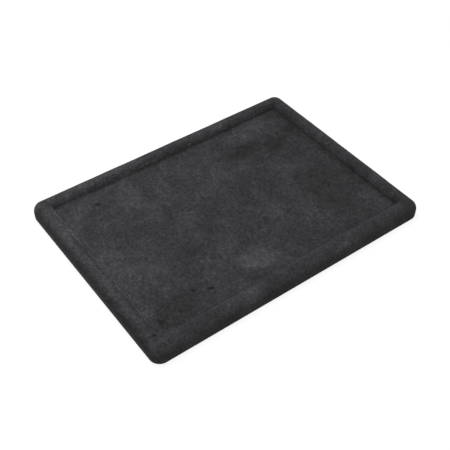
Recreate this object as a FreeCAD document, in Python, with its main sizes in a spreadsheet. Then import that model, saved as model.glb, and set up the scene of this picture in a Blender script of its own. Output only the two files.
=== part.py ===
import FreeCAD, Part
import os
import re

import Sketcher

# Wrapped jewelry tray: four mitred fibreboard mouldings on a base board, covered in microfibre
# cloth that is turned under the base and onto its top, with a padded floor panel set inside.
# Origin in the middle of the underside, X along the length, Y from front to back, Z up.

# Driving sizes in millimetres.
SIZES = [
    ("tray_length", "300", "over the cloth, left to right"),
    ("tray_width", "220", "over the cloth, front to back"),
    ("cloth_thick", "0.8", "microfibre cloth on rim and pad"),
    ("backing_thick", "0.8", "sheet under the tray"),
    ("backing_inset", "4", "from the tray's edge to the sheet's edge"),
    ("backing_slope", "2.5", "run of the sheet's step past the turned cloth"),
    ("base_thick", "3", "fibreboard base"),
    ("rail_side", "3.3", "straight height of a moulding's outer face"),
    ("rail_round", "8.4", "radius from outer face to crest"),
    ("rail_inner_round", "6.4", "radius from crest to inner face"),
    ("crest_flat", "0.2", "flat left between the two radii"),
    ("crest_corner", "1", "corner radius of the crest line in plan"),
    ("flap_width", "10", "cloth glued on the base inside the rim"),
    ("turn_under", "14", "cloth glued under the base"),
    ("pad_gap", "0.3", "between floor pad and rim cloth"),
    ("pad_board_thick", "2", "greyboard of the floor pad"),
    ("pad_foam_thick", "2.5", "foam of the floor pad"),
    ("pad_edge_round", "0.8", "soft top edge of the foam"),
    ("pad_corner", "0.2", "corner radius inside that soft edge in plan"),
    ("pad_turn_under", "12", "cloth glued under the pad board"),
    ("brad_wide", "1.25", "brad wire, along the moulding"),
    ("brad_thick", "1", "brad wire, the other way"),
    ("brad_head_wide", "1.9", "T head, along the moulding"),
    ("brad_head_thick", "0.8", "T head, along the brad"),
    ("brad_length", "10", "brads through the base"),
    ("brad_end_inset", "30", "from a moulding's end to its first base brad"),
    ("brad_spacing", "80", "between base brads, about"),
    ("corner_brad_margin", "1.5", "from the corner's round to the mitre brad"),
    ("corner_brad_bite", "4", "mitre brad's length past the mitre"),
    ("cut_overrun", "1", "how far cuts run past what they cut"),
]

doc = FreeCAD.newDocument("jewelry_tray")
sheet = doc.addObject("Spreadsheet::Sheet", "Sizes")
for row, (alias, number, note) in enumerate(SIZES, start=1):
    sheet.set(f"A{row}", number)
    sheet.setAlias(f"A{row}", alias)
    sheet.set(f"B{row}", note)
doc.recompute()

# Widths, half sizes and levels that follow from the sheet.
TRAY_X = "(tray_length / 2)"
TRAY_Y = "(tray_width / 2)"
CORE_X = f"({TRAY_X} - cloth_thick)"
CORE_Y = f"({TRAY_Y} - cloth_thick)"
RAIL_WIDTH = "(rail_round + crest_flat + rail_inner_round)"
RIM_WIDTH = f"({RAIL_WIDTH} + 2 * cloth_thick)"
RAIL_CORNER = "(rail_round + crest_corner)"
RIM_CORNER = f"({RAIL_CORNER} + cloth_thick)"
RIM_ROUND = "(rail_round + cloth_thick)"
PAD_X = f"({TRAY_X} - {RIM_WIDTH} - pad_gap)"
PAD_Y = f"({TRAY_Y} - {RIM_WIDTH} - pad_gap)"
PAD_CORE_X = f"({PAD_X} - cloth_thick)"
PAD_CORE_Y = f"({PAD_Y} - cloth_thick)"
PAD_CORNER = "(pad_edge_round + pad_corner)"
BASE_Z = "(backing_thick + cloth_thick)"
RAIL_Z = f"({BASE_Z} + base_thick)"
CREST_Z = f"({RAIL_Z} + rail_side + rail_round)"
RIM_TOP_Z = f"({CREST_Z} + cloth_thick)"
FLAP_Z = f"({RAIL_Z} + cloth_thick)"
PAD_BOARD_Z = f"({FLAP_Z} + cloth_thick)"
FOAM_Z = f"({PAD_BOARD_Z} + pad_board_thick)"
FLOOR_Z = f"({FOAM_Z} + pad_foam_thick + cloth_thick)"


def bound(expression):
    """The expression with each of its sizes read from the sheet."""
    return re.sub(r"[a-z][a-z_]*", lambda word: "Sizes." + word.group(), expression)


def value(expression):
    """The number that an expression gives now."""
    return float(sheet.evalExpression(bound(expression)))


def plane(body, role):
    return next(item for item in body.Origin.OriginFeatures if item.Role == role)


def sketch_on(body, role, name, across="0", lift="0"):
    """A sketch on one of the body's planes, moved across that plane and off it."""
    sketch = body.newObject("Sketcher::SketchObject", name)
    sketch.AttachmentSupport = [(plane(body, role), "")]
    sketch.MapMode = "FlatFace"
    sketch.setExpression("AttachmentOffset.Base.x", bound(across))
    sketch.setExpression("AttachmentOffset.Base.z", bound(lift))
    return sketch


def place_point(sketch, geometry, end, x, y):
    """Hold one end of a line or arc at x, y from the sketch's origin."""
    for kind, axis, expression in (("DistanceX", -2, x), ("DistanceY", -1, y)):
        number = value(expression)
        if number == 0:
            sketch.addConstraint(Sketcher.Constraint("PointOnObject", geometry, end, axis))
            continue
        if number > 0:
            constraint = Sketcher.Constraint(kind, -1, 1, geometry, end, number)
        else:
            constraint = Sketcher.Constraint(kind, geometry, end, -1, 1, -number)
            expression = f"-({expression})"
        sketch.setExpression(f"Constraints[{sketch.addConstraint(constraint)}]", bound(expression))


def outline(sketch, corners):
    """A closed outline through corners (x, y), or (x, y, radius) where square edges are rounded."""
    points = [FreeCAD.Vector(value(corner[0]), value(corner[1])) for corner in corners]
    stops = []
    for index, (x, y, *rounding) in enumerate(corners):
        if not rounding:
            stops.append((x, y, None, None))
            continue
        radius = rounding[0]
        for neighbour, arc_radius in ((index - 1, radius), ((index + 1) % len(points), None)):
            way = (points[neighbour] - points[index]).normalize()
            stops.append((f"{x} + {round(way.x)} * {radius}", f"{y} + {round(way.y)} * {radius}",
                          arc_radius, points[index]))
    edges = []
    for (x, y, radius, corner), (next_x, next_y, *_) in zip(stops, stops[1:] + stops[:1]):
        first = FreeCAD.Vector(value(x), value(y))
        last = FreeCAD.Vector(value(next_x), value(next_y))
        if radius is None:
            edge = (sketch.addGeometry(Part.LineSegment(first, last), False), 1, 2)
        else:
            centre = first + last - corner
            middle = centre + (corner - centre).normalize() * value(radius)
            arc = sketch.addGeometry(Part.Arc(first, middle, last), False)
            start = sketch.getPoint(arc, 1)
            forward = start.distanceToPoint(first) < start.distanceToPoint(last)
            edge = (arc, 1, 2) if forward else (arc, 2, 1)
            constraint = sketch.addConstraint(Sketcher.Constraint("Radius", arc, value(radius)))
            sketch.setExpression(f"Constraints[{constraint}]", bound(radius))
        place_point(sketch, edge[0], edge[1], x, y)
        edges.append(edge)
    for (geometry, _, end), (follower, start, _) in zip(edges, edges[1:] + edges[:1]):
        sketch.addConstraint(Sketcher.Constraint("Coincident", geometry, end, follower, start))


def rectangle(sketch, half_x, half_y, *rounding):
    """A rectangle about the sketch's origin, its corners rounded where a radius is given."""
    outline(sketch, [(f"{sign_x} * {half_x}", f"{sign_y} * {half_y}", *rounding)
                     for sign_x, sign_y in ((-1, -1), (1, -1), (1, 1), (-1, 1))])


def feature(body, kind, name, profile, length=None):
    """A body feature made from a sketch, with its length bound to the sheet if it has one."""
    made = body.newObject("PartDesign::" + kind, name)
    made.Profile = profile
    if length:
        made.setExpression("Length", bound(length))
    return made


def plate(name, half_x, half_y, corner, low, thick):
    """A flat piece with rounded corners, as a body with one pad."""
    body = doc.addObject("PartDesign::Body", name)
    plan = sketch_on(body, "XY_Plane", name + "_plan", lift=low)
    rectangle(plan, half_x, half_y, corner)
    feature(body, "Pad", name + "_pad", plan, thick)
    return body


def soften_top(body, radius):
    """Round the top edge of a flat piece all the way round."""
    doc.recompute()
    base = body.Tip
    top = base.Shape.BoundBox.ZMax
    names = [f"Edge{number}" for number, edge in enumerate(base.Shape.Edges, start=1)
             if abs(edge.BoundBox.ZMin - top) < value(radius) / 2]
    fillet = body.newObject("PartDesign::Fillet", body.Name + "_soft_edge")
    fillet.Base = (base, names)
    fillet.setExpression("Radius", bound(radius))


def mitred_side(name, half, reach, turn, section, depth, low, high, radius, corner, foot=None):
    """One side of the rim: a section run along X at the front, its ends mitred and its two outer
    corners turned by the same section, then the whole turned about Z to its own side."""
    body = doc.addObject("PartDesign::Body", name)
    profile = sketch_on(body, "YZ_Plane", name + "_section")
    outline(profile, section(f"-{reach}"))
    run = feature(body, "Pad", name + "_run", profile, f"2 * {half}")
    run.SideType = "Symmetric"
    mitre = sketch_on(body, "XY_Plane", name + "_mitre", lift=f"{high} + cut_overrun")
    outline(mitre, [(f"{half} + cut_overrun", f"-{reach} - cut_overrun"),
                    (f"{half} + cut_overrun", f"{depth} - {reach} + cut_overrun"),
                    (f"{half} - {depth} - cut_overrun", f"{depth} - {reach} + cut_overrun")])
    end = feature(body, "Pocket", name + "_end", mitre)
    end.Type = "ThroughAll"
    turned = sketch_on(body, "XZ_Plane", name + "_turned", f"{half} - {corner}", f"{reach} - {corner}")
    below = f"{low} - cut_overrun"
    above = f"{high} + cut_overrun"
    under = [(corner, low, foot), ("0", low), ("0", below)] if foot else [(corner, below)]
    outline(turned, [("0", high), (corner, high, radius), *under,
                     (f"2 * {corner}", below), (f"2 * {corner}", above), ("0", above)])
    groove = feature(body, "Groove", name + "_groove", turned)
    groove.ReferenceAxis = (turned, ["V_Axis"])
    groove.Angle = 90
    groove.Reversed = True
    both = body.newObject("PartDesign::Mirrored", name + "_other_end")
    both.Originals = [end, groove]
    both.MirrorPlane = (plane(body, "YZ_Plane"), [""])
    body.Tip = both
    upright = FreeCAD.Vector(0, 0, 1)
    body.Placement = FreeCAD.Placement(FreeCAD.Vector(), FreeCAD.Rotation(upright, turn))
    return body


def four_sides(suffix, half_x, half_y, *shape):
    """The front, right, back and left sides of the rim, by name."""
    places = (("front", half_x, half_y, 0), ("right", half_y, half_x, 90),
              ("back", half_x, half_y, 180), ("left", half_y, half_x, 270))
    return {side: mitred_side(f"{side}_{suffix}", half, reach, turn, *shape)
            for side, half, reach, turn in places}


def rail_section(outer):
    """A moulding: straight outer face, round to the crest, smaller round to the inner face."""
    inner = f"{outer} + {RAIL_WIDTH}"
    return [(outer, RAIL_Z), (outer, CREST_Z, "rail_round"),
            (inner, CREST_Z, "rail_inner_round"), (inner, RAIL_Z)]


def rim_section(outer):
    """The wrapped rim, filled: over the moulding, onto the base inside and under the base outside."""
    inner = f"{outer} + {RIM_WIDTH}"
    flap_end = f"{inner} + flap_width"
    under_end = f"{outer} + turn_under"
    return [(outer, "backing_thick", "cloth_thick"), (outer, RIM_TOP_Z, RIM_ROUND),
            (inner, RIM_TOP_Z, "(rail_inner_round + cloth_thick)"), (inner, FLAP_Z), (flap_end, FLAP_Z),
            (flap_end, RAIL_Z), (under_end, RAIL_Z), (under_end, "backing_thick")]


def brad(name, length, x, y, z, rotation):
    """A T-headed brad, driven along its own Z with the face of its head at x, y, z."""
    boxes = []
    for part, wide, high in (("wire", "brad_wide", length), ("head", "brad_head_wide", "brad_head_thick")):
        box = doc.addObject("Part::Box", f"{name}_{part}")
        box.setExpression("Length", bound(wide))
        box.setExpression("Width", bound("brad_thick"))
        box.setExpression("Height", bound(high))
        box.setExpression("Placement.Base.x", bound(f"-{wide} / 2"))
        box.setExpression("Placement.Base.y", bound("-brad_thick / 2"))
        boxes.append(box)
    whole = doc.addObject("Part::Fuse", name)
    whole.Base, whole.Tool = boxes
    whole.Placement = FreeCAD.Placement(FreeCAD.Vector(), rotation)
    for axis, expression in (("x", x), ("y", y), ("z", z)):
        whole.setExpression(f"Placement.Base.{axis}", bound(expression))
    return whole


def together(kind, name, members):
    """Several pieces as one compound or one fused solid."""
    whole = doc.addObject(kind, name)
    if kind == "Part::Compound":
        whole.Links = members
    else:
        whole.Shapes = members
    return whole


def cut_from(name, blank, tool):
    whole = doc.addObject("Part::Cut", name)
    whole.Base = blank
    whole.Tool = tool
    return whole


# Base board and the four mouldings, before their brads.
base_blank = plate("base_blank", CORE_X, CORE_Y, RAIL_CORNER, BASE_Z, "base_thick")
rail_blanks = four_sides("rail_blank", CORE_X, CORE_Y, rail_section, RAIL_WIDTH,
                         RAIL_Z, CREST_Z, "rail_round", RAIL_CORNER)

# Brads up through the base into the middle of each moulding, evenly spaced between its end insets
# in as many equal steps as come nearest to the spacing.
base_brad_list = []
for along_x, half, reach in ((True, CORE_X, CORE_Y), (False, CORE_Y, CORE_X)):
    turned_brad = FreeCAD.Rotation(FreeCAD.Vector(0, 0, 1), 0 if along_x else 90)
    steps = max(1, round(value(f"2 * ({half} - brad_end_inset) / brad_spacing")))
    for side in (-1, 1):
        for step in range(steps + 1):
            along = f"({half} - brad_end_inset) * ({2 * step} / {steps} - 1)"
            across = f"{side} * ({reach} - {RAIL_WIDTH} / 2)"
            place = (along, across) if along_x else (across, along)
            base_brad_list.append(brad(f"base_brad_{len(base_brad_list)}", "brad_length", *place, BASE_Z,
                                       turned_brad))
base_brads = together("Part::Compound", "base_brads", base_brad_list)

# One brad across each mitre, driven level from the long side's outer face, just past the corner's
# round and halfway up that face.
CORNER_BRAD_INSET = f"({RAIL_CORNER} + corner_brad_margin)"
corner_brad_list = []
for side_x, side_y in ((-1, -1), (1, -1), (1, 1), (-1, 1)):
    inward = FreeCAD.Rotation(FreeCAD.Vector(1, 0, 0), 90 * side_y)
    corner_brad_list.append(brad(f"corner_brad_{len(corner_brad_list)}",
                                 f"{CORNER_BRAD_INSET} + corner_brad_bite",
                                 f"{side_x} * ({CORE_X} - {CORNER_BRAD_INSET})", f"{side_y} * {CORE_Y}",
                                 f"{RAIL_Z} + rail_side / 2", inward))
corner_brads = together("Part::Compound", "corner_brads", corner_brad_list)

brads = together("Part::Compound", "brads", [base_brads, corner_brads])
base_board = cut_from("base_board", base_blank, base_brads)
rails = [cut_from(side + "_rail", blank, brads) for side, blank in rail_blanks.items()]

# Rim cover: the wrapped rim as four filled sides, joined and then hollowed by the mouldings and base.
rim_blanks = four_sides("rim_blank", TRAY_X, TRAY_Y, rim_section, f"({RIM_WIDTH} + flap_width)",
                        "backing_thick", RIM_TOP_Z, RIM_ROUND, RIM_CORNER, "cloth_thick")
rim_blank = together("Part::MultiFuse", "rim_blank", list(rim_blanks.values()))
frame_core = together("Part::MultiFuse", "frame_core", [base_blank, *rail_blanks.values()])
rim_cover = cut_from("rim_cover", rim_blank, frame_core)

# Floor pad: foam with a soft top edge on a greyboard, both wrapped in cloth turned under the board.
pad_board = plate("pad_board", PAD_CORE_X, PAD_CORE_Y, PAD_CORNER, PAD_BOARD_Z, "pad_board_thick")
pad_foam = plate("pad_foam", PAD_CORE_X, PAD_CORE_Y, PAD_CORNER, FOAM_Z, "pad_foam_thick")
soften_top(pad_foam, "pad_edge_round")
pad_blank = plate("pad_blank", PAD_X, PAD_Y, f"({PAD_CORNER} + cloth_thick)", FLAP_Z, f"{FLOOR_Z} - {FLAP_Z}")
soften_top(pad_blank, "(pad_edge_round + cloth_thick)")
pad_window = sketch_on(pad_blank, "XY_Plane", "pad_window", lift=PAD_BOARD_Z)
rectangle(pad_window, f"({PAD_X} - pad_turn_under)", f"({PAD_Y} - pad_turn_under)")
feature(pad_blank, "Pocket", "pad_underside", pad_window, "cloth_thick + cut_overrun")
pad_core = together("Part::MultiFuse", "pad_core", [pad_board, pad_foam])
pad_cover = cut_from("pad_cover", pad_blank, pad_core)

# Backing sheet: flat under the turned cloth, then stepping up past the cloth's edge to lie on the base.
backing_sheet = plate("backing_sheet", f"({TRAY_X} - backing_inset)", f"({TRAY_Y} - backing_inset)",
                      f"({RIM_CORNER} - backing_inset)", "0", "backing_thick")
for kind, low in (("AdditiveLoft", "backing_thick"), ("SubtractiveLoft", "0")):
    foot_of_step = sketch_on(backing_sheet, "XY_Plane", f"{kind}_foot", lift=low)
    rectangle(foot_of_step, f"({TRAY_X} - turn_under)", f"({TRAY_Y} - turn_under)")
    head_of_step = sketch_on(backing_sheet, "XY_Plane", f"{kind}_head", lift=f"{low} + cloth_thick")
    rectangle(head_of_step, f"({TRAY_X} - turn_under - backing_slope)",
              f"({TRAY_Y} - turn_under - backing_slope)")
    loft = feature(backing_sheet, kind, f"{kind}_step", foot_of_step)
    loft.Sections = [head_of_step]

pieces = [base_board, *rails, base_brads, corner_brads, rim_cover,
          pad_board, pad_foam, pad_cover, backing_sheet]
doc.recompute()

for item in doc.Objects:
    if "Invalid" in item.State or "Error" in item.State:
        raise RuntimeError(f"{item.Label} did not compute: {item.State}")
for piece in pieces:
    if piece.Shape.isNull() or not piece.Shape.isValid():
        raise RuntimeError(f"{piece.Label} has no valid shape")

os.makedirs("parts", exist_ok=True)
for piece in pieces:
    piece.Shape.exportStep(os.path.join("parts", piece.Label + ".step"))
    box = piece.Shape.BoundBox
    print(f"{piece.Label:14s} solids {len(piece.Shape.Solids):2d}  volume {piece.Shape.Volume:10.2f}"
          f"  {box.XLength:7.2f} x {box.YLength:7.2f} x {box.ZLength:6.2f}"
          f"  z {box.ZMin:5.2f} to {box.ZMax:5.2f}")
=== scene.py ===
import bmesh
import bpy
import numpy as np
from mathutils import Matrix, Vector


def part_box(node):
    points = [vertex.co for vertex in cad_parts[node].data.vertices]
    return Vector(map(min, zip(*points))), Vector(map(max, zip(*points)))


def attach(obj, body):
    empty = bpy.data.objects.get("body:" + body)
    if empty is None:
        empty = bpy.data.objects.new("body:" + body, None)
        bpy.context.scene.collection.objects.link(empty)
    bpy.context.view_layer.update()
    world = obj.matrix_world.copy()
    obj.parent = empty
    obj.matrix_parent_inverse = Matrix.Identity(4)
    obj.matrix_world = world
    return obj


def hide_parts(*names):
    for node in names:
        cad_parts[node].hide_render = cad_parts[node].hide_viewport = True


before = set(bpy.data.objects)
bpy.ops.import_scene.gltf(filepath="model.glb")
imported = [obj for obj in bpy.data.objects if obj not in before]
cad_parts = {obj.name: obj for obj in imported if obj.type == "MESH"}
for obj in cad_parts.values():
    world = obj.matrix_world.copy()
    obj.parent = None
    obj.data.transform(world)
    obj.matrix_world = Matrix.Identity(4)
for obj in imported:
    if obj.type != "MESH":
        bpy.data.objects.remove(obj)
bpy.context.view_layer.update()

# Base board: the tray's flat bottom, sawn from a sheet of pressed fibreboard with rounded corners.
# Brads hold the four mouldings to its upper face, and the turned cloth is glued to both its faces.


def add_node(tree, kind, inputs=None, **settings):
    """A shader node with its settings, each input given as a value or as a socket to link."""
    made = tree.nodes.new("ShaderNode" + kind)
    for name, setting in settings.items():
        setattr(made, name, setting)
    for name, given in (inputs or {}).items():
        if isinstance(given, bpy.types.NodeSocket):
            tree.links.new(given, made.inputs[name])
        else:
            made.inputs[name].default_value = given
    return made


def new_group(name, inputs, outputs):
    """A shader node group with named sockets, its input node and its output node."""
    group = bpy.data.node_groups.new(name, "ShaderNodeTree")
    for way, sockets in (("INPUT", inputs), ("OUTPUT", outputs)):
        for label, kind in sockets.items():
            group.interface.new_socket(label, in_out=way, socket_type="NodeSocket" + kind)
    return group, group.nodes.new("NodeGroupInput"), group.nodes.new("NodeGroupOutput")


def new_finish(name, **shader_values):
    """A material with a Principled shader, constants set on its own sockets, and Object coordinates."""
    finish = bpy.data.materials.new(name)
    finish.use_nodes = True
    tree = finish.node_tree
    tree.nodes.clear()
    values = {label.replace("_", " "): value for label, value in shader_values.items()}
    shader = add_node(tree, "BsdfPrincipled", values)
    add_node(tree, "OutputMaterial", {"Surface": shader.outputs["BSDF"]})
    place = add_node(tree, "TexCoord").outputs["Object"]
    return finish, tree, shader, place


def set_relief(tree, shader, height, depth):
    """Lets a height pattern, that many metres deep, tilt the shader's normal."""
    bump = add_node(tree, "Bump", {"Height": height, "Distance": depth})
    tree.links.new(bump.outputs["Normal"], shader.inputs["Normal"])


def pressed_fibre_group():
    """Board pressed from fibre: broad cloudy tone, and flecks drawn between a dark and a light colour."""
    inputs = {"Position": "Vector", "Fleck Scale": "Float", "Dark": "Color", "Light": "Color"}
    group, given, result = new_group("pressed_fibre", inputs, {"Color": "Color", "Height": "Float"})
    clouds = add_node(group, "TexNoise", {"Vector": given.outputs["Position"], "Scale": 45, "Detail": 3})
    flecks = add_node(group, "TexNoise", {"Vector": given.outputs["Position"],
                                          "Scale": given.outputs["Fleck Scale"], "Detail": 4,
                                          "Roughness": 0.7, "Distortion": 1.2})
    blend = add_node(group, "Math", {0: clouds.outputs["Fac"], 1: flecks.outputs["Fac"]})
    spread = add_node(group, "MapRange", {"Value": blend.outputs[0], "From Min": 0.75, "From Max": 1.25})
    colour = add_node(group, "MixRGB", {"Fac": spread.outputs["Result"], "Color1": given.outputs["Dark"],
                                        "Color2": given.outputs["Light"]})
    group.links.new(colour.outputs["Color"], result.inputs["Color"])
    group.links.new(flecks.outputs["Fac"], result.inputs["Height"])
    return group


fibre_group = pressed_fibre_group()
fibre_relief = 0.00015


def board_finish(name, dark, light, fleck_scale, drawn_out=(1, 1, 1)):
    """A raw board: pressed fibre, drawn out along the way that the board was machined."""
    finish, tree, shader, place = new_finish(name, Roughness=0.85, Specular_IOR_Level=0.25)
    turned = add_node(tree, "Mapping", {"Vector": place, "Scale": drawn_out})
    fibre = add_node(tree, "Group", node_tree=fibre_group)
    tree.links.new(turned.outputs["Vector"], fibre.inputs["Position"])
    fibre.inputs["Fleck Scale"].default_value = fleck_scale
    fibre.inputs["Dark"].default_value = (*dark, 1)
    fibre.inputs["Light"].default_value = (*light, 1)
    tree.links.new(fibre.outputs["Color"], shader.inputs["Base Color"])
    set_relief(tree, shader, fibre.outputs["Height"], fibre_relief)
    return finish


def dress(node, finish):
    """Gives a CAD node its finish."""
    node_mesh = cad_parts[node].data
    node_mesh.materials.clear()
    node_mesh.materials.append(finish)


base_dark = (0.25, 0.165, 0.095)
base_light = (0.44, 0.32, 0.2)
base_fleck_scale = 700
dress("base_board", board_finish("base_fibreboard", base_dark, base_light, base_fleck_scale))

# Mouldings: four lengths of machined fibreboard with a round top, mitred at the tray's corners.
# They stand on the base board's edge, glued and bradded to it, and carry the cloth of the rim.
rail_dark = (0.3, 0.2, 0.12)
rail_light = (0.5, 0.37, 0.24)
rail_fleck_scale = 900
cutter_stretch = 0.08
for sides, drawn_out in ((("front_rail", "back_rail"), (cutter_stretch, 1, 1)),
                         (("left_rail", "right_rail"), (1, cutter_stretch, 1))):
    rail_finish = board_finish("moulded_" + sides[0], rail_dark, rail_light, rail_fleck_scale, drawn_out)
    for side in sides:
        dress(side, rail_finish)

# Brads: T-headed galvanised wire nails. Fourteen go up through the base into the mouldings,
# and one crosses each mitre, so that the corners can't open.
brad_finish, tree, shader, place = new_finish("galvanised_wire", Metallic=1.0)
zinc = add_node(tree, "TexNoise", {"Vector": place, "Scale": 1800, "Detail": 3, "Roughness": 0.65})
zinc_spread = {"Value": zinc.outputs["Fac"], "From Min": 0.3, "From Max": 0.7}
zinc_tone = add_node(tree, "MapRange", {**zinc_spread, "To Min": 0.38, "To Max": 0.62})
zinc_gloss = add_node(tree, "MapRange", {**zinc_spread, "To Min": 0.55, "To Max": 0.3})
tree.links.new(zinc_tone.outputs["Result"], shader.inputs["Base Color"])
tree.links.new(zinc_gloss.outputs["Result"], shader.inputs["Roughness"])
for brads in ("base_brads", "corner_brads"):
    dress(brads, brad_finish)

# Rim cover: one piece of charcoal microfibre suede, stretched over the mouldings and glued down.
# Its inner edge lies on the base inside the rim, under the floor pad. Its outer edge is turned under
# the base, with small pleats where it is gathered round the tray's corners.


def round_path(long_steps, short_steps, turn_steps):
    """The way round a rounded rectangle: for each step, the corner centre that it hangs on, as shares
    of that centre's place, and the outward direction. Straights slide from one corner centre to the
    next, and corners turn a quarter circle about theirs."""
    corners = np.array([(-1, -1), (1, -1), (1, 1), (-1, 1)], float)
    turn = np.linspace(0, np.pi / 2, turn_steps + 1)[1:-1]
    shares, angles = [], []
    for side, steps in enumerate((long_steps, short_steps, long_steps, short_steps)):
        first, last = corners[side], corners[(side + 1) % 4]
        run = np.linspace(0, 1, steps + 1)[:, None]
        facing = (side - 1) * np.pi / 2
        shares += [first + (last - first) * run, np.tile(last, (len(turn), 1))]
        angles += [np.full(steps + 1, facing), facing + turn]
    angle = np.concatenate(angles)
    return np.concatenate(shares), np.stack([np.cos(angle), np.sin(angle)], axis=1)


def carried_round(path, half, corner, section):
    """A section of (inset, level) points carried round a path. Each corner centre lies one corner
    radius further in than the inset, so that all insets stay parallel to the outer edge."""
    shares, outward = path
    inset, level = section.T
    reach = half - (inset + corner)[:, None]
    plan = shares[:, None] * reach + outward[:, None] * corner[:, None]
    return np.concatenate([plan, np.broadcast_to(level[:, None], (*plan.shape[:2], 1))], axis=2)


def between(first, last, spacing):
    """Points strictly between two ends, about that far apart."""
    steps = max(1, round(np.linalg.norm(last - first) / spacing))
    return first + (last - first) * np.linspace(0, 1, steps + 1)[1:-1, None]


def rounded_line(corners, radii, spacing):
    """Points along a line through corners, each inner corner replaced by an arc of its radius: the arc
    leaves each leg at the radius times the tangent of half the turn."""
    corners = np.array(corners, float)
    points = [corners[:1]]
    for before, corner, after, radius in zip(corners, corners[1:], corners[2:], radii):
        arrive = (corner - before) / np.linalg.norm(corner - before)
        leave = (after - corner) / np.linalg.norm(after - corner)
        half_turn = np.arccos(np.clip(arrive @ leave, -1, 1)) / 2
        inward = (leave - arrive) / np.linalg.norm(leave - arrive)
        centre = corner + inward * radius / np.cos(half_turn)
        swing = np.linspace(-half_turn, half_turn, 2 + int(2 * half_turn * radius / spacing))
        along = (arrive + leave) / np.linalg.norm(arrive + leave)
        arc = centre + radius * (np.sin(swing)[:, None] * along - np.cos(swing)[:, None] * inward)
        points += [between(points[-1][-1], arc[0], spacing), arc]
    points.append(between(points[-1][-1], corners[-1], spacing))
    points.append(corners[-1:])
    return np.concatenate(points)


def under_side(corners, radii, thick):
    """The corners and radii of a square-cornered line moved to its left by a thickness: left turns
    lose that much radius and right turns gain it."""
    corners = np.array(corners, float)
    way = np.diff(corners, axis=0)
    way /= np.linalg.norm(way, axis=1)[:, None]
    left = np.stack([-way[:, 1], way[:, 0]], axis=1)
    shift = np.concatenate([left[:1], left[:-1] + left[1:], left[-1:]])
    turns_left = way[:-1, 0] * way[1:, 1] - way[:-1, 1] * way[1:, 0]
    return corners + thick * shift, np.maximum(np.array(radii) - thick * turns_left, 0)


def smooth_step(low, high, value):
    """0 below low, 1 above high, and an S-curve between."""
    share = np.clip((value - low) / (high - low), 0, 1)
    return share * share * (3 - 2 * share)


def uneven(points, wavelength, seed, waves=20):
    """Gentle unevenness, about -1 to 1: sine waves in seeded directions, each with a length near the given
    one and a phase of its own, added up."""
    draw = np.random.default_rng(seed)
    way = draw.normal(size=(waves, 3))
    way /= np.linalg.norm(way, axis=1)[:, None]
    stretch = draw.uniform(0.6, 1.6, waves)
    phase = draw.uniform(0, 2 * np.pi, waves)
    turns = way * (2 * np.pi / (wavelength * stretch))[:, None]
    return np.sin(points @ turns.T + phase).sum(axis=-1) / np.sqrt(2 * waves)


touching = 1e-6


def build_piece(name, patches, finish):
    """One closed mesh from patches of points in rows and columns. A patch's last row joins its first
    where its first flag says so, and its columns where its second does. Shared borders are merged."""
    points, faces = [], []
    first = 0
    for grid, rows_close, columns_close in patches:
        rows, columns = grid.shape[:2]
        index = first + np.arange(rows * columns).reshape(rows, columns)
        if rows_close:
            index = np.concatenate([index, index[:1]])
        if columns_close:
            index = np.concatenate([index, index[:, :1]], axis=1)
        quads = np.stack([index[:-1, :-1], index[1:, :-1], index[1:, 1:], index[:-1, 1:]], axis=-1)
        points.append(grid.reshape(-1, 3))
        faces.append(quads.reshape(-1, 4))
        first += rows * columns
    mesh = bpy.data.meshes.new(name)
    mesh.from_pydata(np.concatenate(points), [], np.concatenate(faces))
    shell = bmesh.new()
    shell.from_mesh(mesh)
    bmesh.ops.remove_doubles(shell, verts=shell.verts, dist=touching)
    bmesh.ops.recalc_face_normals(shell, faces=shell.faces)
    shell.to_mesh(mesh)
    shell.free()
    mesh.polygons.foreach_set("use_smooth", np.ones(len(mesh.polygons), bool))
    mesh.materials.append(finish)
    piece = bpy.data.objects.new(name, mesh)
    bpy.context.scene.collection.objects.link(piece)
    return piece


noise_middle = 0.5
tuft_stretch = (1, 0.74, 1)


def suede_group():
    """Microfibre with a nap raised by brushing: patches of lighter and darker nap from palm size down to
    single tufts, each size nearly as strong as the next larger, and the tufts' own relief. The tufts are
    a little longer along the cloth, which runs across the tray, than across it. The falloff vector is
    painted light: the tone changes steadily along its direction, as the light falls off across the tray.
    The marks input adds listed marks: nap marks, and painted shade and highlights. The tone is
    multiplied by the exponential of all these together, so that dark nap keeps its texture."""
    inputs = {"Position": "Vector", "Tone": "Color", "Patches": "Float", "Tufts": "Float",
              "Lean": "Vector", "Nap And Shading Marks": "Float"}
    group, given, result = new_group("suede_nap", inputs, {"Color": "Color", "Height": "Float"})
    patches = add_node(group, "TexNoise", {"Vector": given.outputs["Position"], "Scale": 22, "Detail": 5,
                                           "Roughness": 0.85, "Distortion": 0.4})
    along_cloth = add_node(group, "VectorMath", {0: given.outputs["Position"], 1: tuft_stretch},
                           operation="MULTIPLY")
    tufts = add_node(group, "TexNoise", {"Vector": along_cloth.outputs["Vector"], "Scale": 480, "Detail": 2,
                                         "Roughness": 0.8})
    falloff_shading = add_node(group, "VectorMath", {0: given.outputs["Position"], 1: given.outputs["Lean"]},
                     operation="DOT_PRODUCT")
    falloff_and_marks = add_node(group, "Math", {0: falloff_shading.outputs["Value"], 1: given.outputs["Nap And Shading Marks"]})
    shade = falloff_and_marks.outputs[0]
    for pattern, strength in ((patches, "Patches"), (tufts, "Tufts")):
        centred = add_node(group, "Math", {0: pattern.outputs["Fac"], 1: noise_middle}, operation="SUBTRACT")
        added = add_node(group, "Math", {0: centred.outputs[0], 1: given.outputs[strength], 2: shade},
                         operation="MULTIPLY_ADD")
        shade = added.outputs[0]
    bright = add_node(group, "Math", {0: shade}, operation="EXPONENT")
    colour = add_node(group, "VectorMath", {0: given.outputs["Tone"], "Scale": bright.outputs[0]},
                      operation="SCALE")
    group.links.new(colour.outputs["Vector"], result.inputs["Color"])
    group.links.new(tufts.outputs["Fac"], result.inputs["Height"])
    return group


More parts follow.
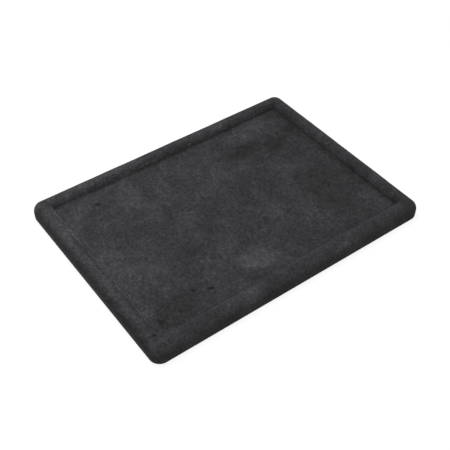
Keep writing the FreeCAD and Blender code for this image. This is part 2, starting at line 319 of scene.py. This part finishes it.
suede_nap = suede_group()
tuft_relief = 0.0003
pressed_ragged = 0.004
mark_core = 0.4
mark_edge = 1.3


def ragged_place(tree, place, reach):
    """The place pulled about by coloured noise, so that shapes drawn with it get ragged edges."""
    ragged = add_node(tree, "TexNoise", {"Vector": place, "Scale": 90, "Detail": 4, "Roughness": 0.7})
    pulled = add_node(tree, "VectorMath", {0: ragged.outputs["Color"], 1: (noise_middle,) * 3},
                      operation="SUBTRACT")
    moved = add_node(tree, "VectorMath", {0: pulled.outputs["Vector"], 1: (reach, reach, 0), 2: place},
                     operation="MULTIPLY_ADD")
    return moved.outputs["Vector"]


def add_nap_and_shading_marks(tree, place, marks, total):
    """Marks added to a total: 1 inside an ellipse falling to 0 past its edge, times its strength."""
    for x, y, half_x, half_y, turn, strength in marks:
        inside = add_node(tree, "Mapping", {"Vector": place, "Location": (x, y, 0),
                                            "Rotation": (0, 0, np.radians(turn)),
                                            "Scale": (half_x, half_y, 1)}, vector_type="TEXTURE")
        far = add_node(tree, "VectorMath", {0: inside.outputs["Vector"]}, operation="LENGTH")
        mark = add_node(tree, "MapRange", {"Value": far.outputs["Value"], "From Min": mark_core,
                                           "From Max": mark_edge, "To Min": 1.0, "To Max": 0.0},
                        interpolation_type="SMOOTHSTEP")
        summed = add_node(tree, "Math", {0: mark.outputs["Result"], 1: strength, 2: total},
                          operation="MULTIPLY_ADD")
        total = summed.outputs[0]
    return total


def suede_finish(name, tone, patches, tufts, light_falloff, marks, ragged, pressed=()):
    """Suede with its nap: brush marks and painted shade and highlights that are pulled ragged by up to
    about a quarter of that length, marks with cleaner edges, pressed ones and painted ones, and painted
    light that falls off steadily along a direction. A mark is an ellipse: its middle, half sizes, turn in
    degrees, and how much lighter or darker the cloth is there."""
    finish, tree, shader, place = new_finish(name, Roughness=0.95, Specular_IOR_Level=0.15,
                                             Sheen_Weight=0.2, Sheen_Roughness=0.22,
                                             Sheen_Tint=(0.95, 0.95, 1, 1))
    nap = add_node(tree, "Group", node_tree=suede_nap)
    tree.links.new(place, nap.inputs["Position"])
    nap.inputs["Tone"].default_value = (*tone, 1)
    nap.inputs["Patches"].default_value = patches
    nap.inputs["Tufts"].default_value = tufts
    nap.inputs["Lean"].default_value = light_falloff
    nap_and_shading = add_nap_and_shading_marks(tree, ragged_place(tree, place, ragged), marks, 0.0)
    nap_and_shading = add_nap_and_shading_marks(tree, ragged_place(tree, place, pressed_ragged), pressed, nap_and_shading)
    tree.links.new(nap_and_shading, nap.inputs["Nap And Shading Marks"])
    tree.links.new(nap.outputs["Color"], shader.inputs["Base Color"])
    set_relief(tree, shader, nap.outputs["Height"], tuft_relief)
    return finish


rim_low, rim_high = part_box("rim_cover")
rail_low, rail_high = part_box("front_rail")
base_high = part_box("base_board")[1]
cloth = rim_high.z - rail_high.z
tray_half = np.array(base_high.xy) + cloth
rim_width = rail_high.y - rail_low.y + 2 * cloth
crest = rim_high.z
flap_top = base_high.z + cloth
flap_width = 0.010
turn_under = 0.014
outer_round = 0.0092
inner_round = 0.0072
crease_round = 0.0005
foot_round = 0.0004
plan_round = 0.0102
least_plan_round = 0.0007
face_spacing = 0.0009
back_spacing = 0.0025
rim_steps = (230, 165)
pleats = 5
steps_per_pleat = 6

# The cloth's line across the rim: along the base, up the inner wall, over the crest, down and under.
rim_line = [(rim_width + flap_width, flap_top), (rim_width, flap_top), (rim_width, crest), (0, crest),
            (0, rim_low.z), (turn_under, rim_low.z)]
rim_radii = [crease_round, inner_round, outer_round, foot_round]
rim_face = rounded_line(rim_line, rim_radii, face_spacing)
rim_back = rounded_line(*under_side(rim_line, rim_radii, cloth), back_spacing)[::-1]
rim_section = np.concatenate([rim_face, rim_back])
rim_path = round_path(*rim_steps, pleats * steps_per_pleat)
rim_corner = np.maximum(plan_round - rim_section[:, 0], least_plan_round)
rim_points = carried_round(rim_path, tray_half, rim_corner, rim_section)

# The face swells and dips a little where it shows, more on the inner slope than on the outer.
inset, level = rim_face.T
way = np.gradient(rim_face, axis=0)
way /= np.linalg.norm(way, axis=1)[:, None]
face = rim_points[:, :len(rim_face)]
outward = np.concatenate([-way[None, :, 1:] * rim_path[1][:, None],
                          np.broadcast_to(-way[:, :1], (*face.shape[:2], 1))], axis=2)
slope_run = 0.004
edge_run = 0.002
inner_side = smooth_step(outer_round, outer_round + slope_run, inset)
floor_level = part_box("pad_cover")[1].z
outer_shows = smooth_step(3 * foot_round, 10 * foot_round, level)
inner_shows = smooth_step(floor_level, floor_level + edge_run, level)
showing = outer_shows * (1 - inner_side) + inner_shows * inner_side
mean_swell = 0.00016
most_swell = 0.0004
broad_height = 0.00007
fine_height = 0.00003
slope_height = 0.0001
broad_swell = broad_height * uneven(face, wavelength=0.045, seed=3)
fine_swell = fine_height * uneven(face, wavelength=0.012, seed=4)
slope_swell = slope_height * uneven(face, wavelength=0.022, seed=5)
swell = np.clip(mean_swell + broad_swell + fine_swell + slope_swell * inner_side, 0, most_swell)

# A shallow fold runs down each inner mitre: a groove whose depth falls off with the distance from it.
fold_depth = 0.0003
fold_width = 0.0009
off_mitre = np.abs(np.abs(face[..., 0]) - tray_half[0] - np.abs(face[..., 1]) + tray_half[1]) / np.sqrt(2)
fold = fold_depth * np.exp(-(off_mitre / fold_width) ** 2) * smooth_step(outer_round, rim_width, inset)

# Pleats under the corners: waves round the corner, between the foot and the backing sheet's edge.
pleat_depth = 0.0005
bare_under = tray_half[0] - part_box("backing_sheet")[1].x
corner_angle = np.arctan2(rim_path[1][:, 1], rim_path[1][:, 0])
gathers = np.sin(2 * pleats * corner_angle) ** 2
beneath = np.isclose(level, rim_low.z, atol=touching) * smooth_step(foot_round, 4 * foot_round, inset)
pleating = pleat_depth * gathers[:, None] * beneath * (1 - smooth_step(bare_under / 2, bare_under, inset))
face += outward * ((swell - fold) * showing + pleating)[..., None]

# The rim's tone holds painted shade and highlights among a few nap marks: it is darker in the creases,
# on the inner slopes, in the inner corners, on the left wall and along the right rim's outer edge, and
# paler on the crests, along the left rim's inner edge and on the front wall. A small nick on the left
# shoulder, and a painted highlight that lifts the shade at the foot of the back wall, have cleaner edges.
rim_charcoal = (0.0398, 0.0398, 0.0425)
rim_nap_and_painted_shading = [
    (0.000, 0.0960, 0.170, 0.0022, 0, -0.17),
    (0.136, 0.000, 0.006, 0.120, 0, -0.20),
    (-0.153, 0.000, 0.0065, 0.130, 0, -0.36),
    (-0.1432, 0.000, 0.0042, 0.130, 0, 0.15),
    (-0.1382, 0.000, 0.0026, 0.120, 0, -0.22),
    (-0.1350, 0.000, 0.0016, 0.120, 0, 0.44),
    (-0.1365, 0.048, 0.0040, 0.018, 0, 0.10),
    (0.000, 0.0992, 0.170, 0.0026, 0, 0.08),
    (0.1495, 0.000, 0.0035, 0.120, 0, -0.15),
    (0.000, -0.112, 0.170, 0.008, 0, 0.17),
    (-0.100, -0.102, 0.028, 0.007, 0, -0.17),
    (-0.052, -0.103, 0.024, 0.007, 0, 0.32),
    (0.006, -0.102, 0.020, 0.005, 0, -0.14),
    (-0.146, 0.056, 0.005, 0.014, 0, -0.18),
    (-0.128, 0.096, 0.010, 0.005, 0, -0.18),
    (0.1405, -0.054, 0.005, 0.013, 0, 0.18),
    (0.1345, -0.0895, 0.004, 0.005, 0, -0.25),
    (-0.090, 0.1010, 0.030, 0.004, 0, 0.24),
    (0.137, 0.050, 0.006, 0.022, 0, 0.15),
]
rim_nick = (-0.1396, -0.0918, 0.0024, 0.0015, -36, -0.85)
back_wall_foot_highlight = (0.000, 0.0936, 0.150, 0.0006, 0, 0.14)
# The falloff is painted light across the rim: lighter to the back and left, darker to the front and right.
rim_finish = suede_finish("rim_suede", rim_charcoal, patches=2.2, tufts=2.1, light_falloff=(-0.7, 0.8, 0),
                          marks=rim_nap_and_painted_shading, ragged=0.012, pressed=[rim_nick, back_wall_foot_highlight])
rim_cover = build_piece("rim_suede_cover", [(rim_points, True, True)], rim_finish)
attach(rim_cover, "root")
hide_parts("rim_cover")

# Pad board: the floor pad's stiff back, cut from recycled greyboard.
# The pad's cloth is pulled round it and glued underneath before the pad is pressed into the rim.
greyboard_dark = (0.2, 0.195, 0.18)
greyboard_light = (0.38, 0.37, 0.345)
greyboard_fleck_scale = 1100
dress("pad_board", board_finish("recycled_greyboard", greyboard_dark, greyboard_light, greyboard_fleck_scale))

# Pad foam: a thin sheet of pale open-celled foam glued on the board.
# It gives the floor its soft edge, and it takes the small dents that the cloth shows.

# Each dent is a short stroke: its middle, half length, half width and depth. All lie the same way.
floor_dents = [(-0.0964, 0.0741, 0.0034, 0.0022, 0.0007), (-0.0703, -0.0744, 0.0036, 0.0017, 0.0007),
               (-0.0836, -0.0680, 0.0028, 0.0020, 0.0005), (-0.1250, -0.0802, 0.0026, 0.0024, 0.0003)]
dent_turn = -36
slow_roll_height = 0.0001
fine_roll_height = 0.00004
edge_wobble_height = 0.00012
roll_fade = (0.0005, 0.006)
wobble_fade = (0.002, 0.005)


def floor_lie(points, half):
    """How far the padded floor lies above or below its level: a slow roll, a finer one and dents with
    the section of a bell, which all fade out at the pad's edge, and an unsteady edge."""
    plan = points[..., :2]
    edge = (half - np.abs(plan)).min(axis=-1)
    slow_roll = slow_roll_height * uneven(points, wavelength=0.05, seed=11)
    fine_roll = fine_roll_height * uneven(points, wavelength=0.014, seed=12)
    edge_wobble = edge_wobble_height * uneven(points, wavelength=0.018, seed=13)
    lie = slow_roll + fine_roll
    cos, sin = np.cos(np.radians(dent_turn)), np.sin(np.radians(dent_turn))
    for x, y, half_long, half_wide, depth in floor_dents:
        shares = (plan - (x, y)) @ np.array([[cos, -sin], [sin, cos]]) / (half_long, half_wide)
        lie = lie - depth * np.exp(-(shares ** 2).sum(axis=-1))
    return lie * smooth_step(*roll_fade, edge) + edge_wobble * (1 - smooth_step(*wobble_fade, edge))


def level_field(path_steps, half, level):
    """A level field of points whose border meets a section carried round with the same steps."""
    x = np.linspace(-1, 1, path_steps[0] + 1) * half[0]
    y = np.linspace(-1, 1, path_steps[1] + 1) * half[1]
    grid_x, grid_y = np.meshgrid(x, y, indexing="ij")
    return np.stack([grid_x, grid_y, np.full_like(grid_x, level)], axis=2)


def shut_pad(path_steps, path, half, corner_round, section, window, top_mid):
    """A pad's patches: its section carried round, and its two windows closed by level fields. What lies
    above top_mid follows the floor's lie."""
    ring = carried_round(path, half, np.maximum(corner_round - section[:, 0], 0), section)
    fields = [level_field(path_steps, half - window, height) for height in section[[0, -1], 1]]
    for grid in (ring, *fields):
        grid[..., 2] += floor_lie(grid, half) * (grid[..., 2] > top_mid)
    return [(ring, True, False), (fields[0], False, False), (fields[1], False, False)]


foam_low, foam_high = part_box("pad_foam")
foam_half = np.array(foam_high.xy)
foam_middle = (foam_low.z + foam_high.z) / 2
foam_round = 0.0004
foam_foot_round = 0.0001
foam_plan_round = 0.001
foam_window = 0.005
pad_steps = (220, 152)
pad_turn_steps = 6
pad_path = round_path(*pad_steps, pad_turn_steps)
foam_line = [(foam_window, foam_high.z), (0, foam_high.z), (0, foam_low.z), (foam_window, foam_low.z)]
foam_section = rounded_line(foam_line, [foam_round, foam_foot_round], face_spacing)

foam_finish, tree, shader, place = new_finish("pale_foam", Roughness=0.9, Specular_IOR_Level=0.2)
cells = add_node(tree, "TexVoronoi", {"Vector": place, "Scale": 1500, "Randomness": 1.0})
cell_tone = add_node(tree, "ValToRGB", {"Fac": cells.outputs["Distance"]})
cell_tone.color_ramp.elements[0].color = (0.36, 0.355, 0.32, 1)
cell_tone.color_ramp.elements[1].color = (0.68, 0.67, 0.62, 1)
cell_tone.color_ramp.elements[1].position = 0.55
cell_relief = 0.0003
tree.links.new(cell_tone.outputs["Color"], shader.inputs["Base Color"])
set_relief(tree, shader, cells.outputs["Distance"], cell_relief)
foam_patches = shut_pad(pad_steps, pad_path, foam_half, foam_plan_round, foam_section, foam_window,
                        foam_middle)
pad_foam = build_piece("floor_foam", foam_patches, foam_finish)
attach(pad_foam, "root")
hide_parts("pad_foam")

# Pad cover: the tray's floor, the same charcoal suede pulled over foam and board and glued below.
# Its nap shows where it was wiped, rubbed with a brush or pressed, as paler and darker marks, and
# painted shade and light lie along its walls, in its dents and in the crease along the back.
pad_low, pad_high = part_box("pad_cover")
pressed_tight = 0.00028
pad_half = np.array(pad_high.xy) + pressed_tight
pad_middle = (pad_low.z + pad_high.z) / 2
pad_window = 0.006
pad_turn_under = 0.012
pad_round = 0.0003
pad_plan_round = 0.0018
pad_foot_round = 0.0008
pad_line = [(pad_window, pad_high.z), (0, pad_high.z), (0, pad_low.z), (pad_turn_under, pad_low.z)]
pad_radii = [pad_round, pad_foot_round]
pad_face = rounded_line(pad_line, pad_radii, face_spacing)
pad_back = rounded_line(*under_side(pad_line, pad_radii, cloth), back_spacing)[::-1]
pad_section = np.concatenate([pad_face, pad_back])

# The floor's tone is painted a little darker than the rim's, as painted shade, though it is the same cloth.
# First the strips along the side walls, painted shade along the right wall and painted light along the
# left, then the nap marks out on the floor. Others have cleaner edges: the dents, darker by their depth
# as painted shade in their hollows, a pale square that was pressed flat, and painted shade in the crease
# along the back.
floor_charcoal_shaded = (0.0365, 0.0365, 0.0390)
floor_nap_and_painted_shading = [
    (0.1335, 0.000, 0.0045, 0.110, 0, -0.45),
    (-0.133, 0.000, 0.003, 0.090, 0, 0.20),
    (-0.129, -0.010, 0.010, 0.070, 0, 0.14),
    (-0.130, -0.066, 0.006, 0.024, 0, 0.15),
    (0.090, 0.081, 0.036, 0.011, 4, 0.25),
    (0.066, 0.056, 0.022, 0.009, 0, -0.44),
    (0.098, 0.046, 0.017, 0.013, 20, -0.60),
    (0.121, 0.058, 0.010, 0.007, 20, -0.42),
    (-0.066, 0.068, 0.015, 0.024, -10, 0.23),
    (-0.117, 0.070, 0.028, 0.005, 48, 0.16),
    (-0.085, 0.030, 0.028, 0.026, 0, -0.25),
    (-0.108, -0.078, 0.026, 0.015, 10, -0.33),
    (0.100, -0.035, 0.030, 0.040, -10, -0.29),
    (0.122, -0.068, 0.008, 0.006, 30, 0.22),
    (0.036, -0.038, 0.006, 0.008, 0, 0.17),
    (-0.050, -0.052, 0.036, 0.014, -36, 0.20),
    (0.062, -0.008, 0.024, 0.020, 0, -0.22),
    (0.012, -0.036, 0.014, 0.012, 0, -0.24),
    (-0.114, 0.084, 0.014, 0.008, 0, -0.28),
    (-0.040, 0.022, 0.016, 0.014, 0, -0.15),
    (-0.068, -0.086, 0.013, 0.006, 0, -0.22),
    (-0.048, -0.084, 0.010, 0.010, 0, 0.22),
]
shade_of_depth = -1600
dent_marks = [(x, y, half_long, half_wide, dent_turn, shade_of_depth * depth)
              for x, y, half_long, half_wide, depth in floor_dents]
pale_square = (-0.0168, -0.0708, 0.0185, 0.0165, 10, 0.64)
back_crease_shade = (0.000, 0.0922, 0.150, 0.0018, 0.3, -0.50)
# The falloff is painted light across the floor: lighter to the left and a little to the back, darker to the
# right.
pad_finish = suede_finish("floor_suede", floor_charcoal_shaded, patches=2.2, tufts=2.25, light_falloff=(-0.95, 0.42, 0),
                          marks=floor_nap_and_painted_shading, ragged=0.03, pressed=[*dent_marks, pale_square, back_crease_shade])
pad_patches = shut_pad(pad_steps, pad_path, pad_half, pad_plan_round, pad_section, pad_window, pad_middle)
pad_cover = build_piece("floor_suede_cover", pad_patches, pad_finish)
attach(pad_cover, "root")
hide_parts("pad_cover")

# Backing sheet: black non-woven cloth glued under the tray, a little in from its edge.
# It hides the turned edge of the suede, and steps up past that edge to lie on the base board.
back_low, back_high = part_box("backing_sheet")
back_half = np.array(back_high.xy)
back_thick = rim_low.z - back_low.z
back_plan_round = plan_round - bare_under
step_foot = turn_under - bare_under
step_run = 0.0025
back_window = 0.016
back_face = np.array([(back_window, back_low.z + cloth), (step_foot + step_run, back_low.z + cloth),
                      (step_foot, back_low.z), (0, back_low.z)])
back_top = back_face[::-1] + (0, back_thick)
back_section = np.concatenate([back_face, back_top])
back_steps = (72, 52)
back_turn_steps = 8
back_path = round_path(*back_steps, back_turn_steps)
back_corner = np.maximum(back_plan_round - back_section[:, 0], 0)
back_ring = carried_round(back_path, back_half, back_corner, back_section)
back_fields = [level_field(back_steps, back_half - back_window, height)
               for height in back_section[[0, -1], 1]]

back_finish, tree, shader, place = new_finish("bonded_cloth", Roughness=0.8, Specular_IOR_Level=0.25)
bonds = add_node(tree, "TexVoronoi", {"Vector": place, "Scale": 900, "Randomness": 0.4})
bond_tone = add_node(tree, "ValToRGB", {"Fac": bonds.outputs["Distance"]})
bond_tone.color_ramp.elements[0].color = (0.008, 0.008, 0.009, 1)
bond_tone.color_ramp.elements[1].color = (0.019, 0.019, 0.020, 1)
bond_relief = 0.0002
tree.links.new(bond_tone.outputs["Color"], shader.inputs["Base Color"])
set_relief(tree, shader, bonds.outputs["Distance"], bond_relief)
backing = build_piece("backing_cloth", [(back_ring, True, False), (back_fields[0], False, False),
                                        (back_fields[1], False, False)], back_finish)
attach(backing, "root")
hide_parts("backing_sheet")

# Floor, light and camera: a plain pale table, one large soft light overhead and a dim white room,
# seen from in front and to the left of the tray.


def shown_white(tree):
    """1 for rays that come from the camera, or that see the background in gloss or glass."""
    path = add_node(tree, "LightPath")
    seen = add_node(tree, "Math", {0: path.outputs["Is Camera Ray"], 1: path.outputs["Is Glossy Ray"]},
                    operation="MAXIMUM")
    both = add_node(tree, "Math", {0: seen.outputs[0], 1: path.outputs["Is Transmission Ray"]},
                    operation="MAXIMUM")
    return both.outputs[0]


table_reach = 6.0
table_level = -0.0002
table_steps = (24, 24)
table_grey = (0.18, 0.18, 0.18, 1)
shadow_reach = 0.4
white_reach = 1.6
near_white = 0.87
table_grid = level_field(table_steps, np.full(2, table_reach), table_level)
table_finish = bpy.data.materials.new("pale_table")
table_finish.use_nodes = True
tree = table_finish.node_tree
tree.nodes.clear()
table_paint = add_node(tree, "BsdfDiffuse", {"Color": table_grey})
table_place = add_node(tree, "TexCoord").outputs["Object"]
from_tray = add_node(tree, "VectorMath", {0: table_place}, operation="LENGTH")
whiteness = add_node(tree, "MapRange", {"Value": from_tray.outputs["Value"], "From Min": shadow_reach,
                                        "From Max": white_reach, "To Min": near_white, "To Max": 1.0})
glow_strength = add_node(tree, "Math", {0: shown_white(tree), 1: whiteness.outputs["Result"]},
                         operation="MULTIPLY")
table_glow = add_node(tree, "Emission", {"Color": (1, 1, 1, 1), "Strength": glow_strength.outputs[0]})
table_mix = add_node(tree, "AddShader", {0: table_paint.outputs[0], 1: table_glow.outputs[0]})
add_node(tree, "OutputMaterial", {"Surface": table_mix.outputs[0]})
table = build_piece("table", [(table_grid, False, False)], table_finish)

world = bpy.data.worlds.new("room")
bpy.context.scene.world = world
world.use_nodes = True
tree = world.node_tree
tree.nodes.clear()
room_level = 0.53
room_strength = add_node(tree, "MapRange", {"Value": shown_white(tree), "To Min": room_level, "To Max": 1.0})
room = add_node(tree, "Background", {"Color": (1, 1, 1, 1), "Strength": room_strength.outputs["Result"]})
add_node(tree, "OutputWorld", {"Surface": room.outputs["Background"]})

softbox_side = 0.6
light_data = bpy.data.lights.new("overhead_softbox", "AREA")
light_data.shape = "RECTANGLE"
light_data.size = softbox_side
light_data.size_y = softbox_side
light_data.energy = 4.6
softbox = bpy.data.objects.new("overhead_softbox", light_data)
softbox.location = (-0.1, 0.2, 0.9)
softbox.rotation_euler = np.radians((-12.5, -6.3, 0))
bpy.context.scene.collection.objects.link(softbox)

camera_data = bpy.data.cameras.new("camera")
camera_data.sensor_width = 36
camera_data.lens = 64.87
camera_data.clip_start = 0.01
camera = bpy.data.objects.new("camera", camera_data)
azimuth, elevation, roll = np.radians((-36.42, 45.05, 0.18))
target = np.array((-0.0086, -0.0109, 0.0008))
distance = 0.7687
level_reach = np.cos(elevation)
towards_camera = np.array((np.sin(azimuth) * level_reach, -np.cos(azimuth) * level_reach,
                           np.sin(elevation)))
camera.matrix_world = (Matrix.Translation(target + distance * towards_camera)
                       @ Matrix.Rotation(azimuth, 4, "Z") @ Matrix.Rotation(np.pi / 2 - elevation, 4, "X")
                       @ Matrix.Rotation(roll, 4, "Z"))
bpy.context.scene.collection.objects.link(camera)
bpy.context.scene.camera = camera
bpy.context.scene.view_settings.view_transform = "Standard"
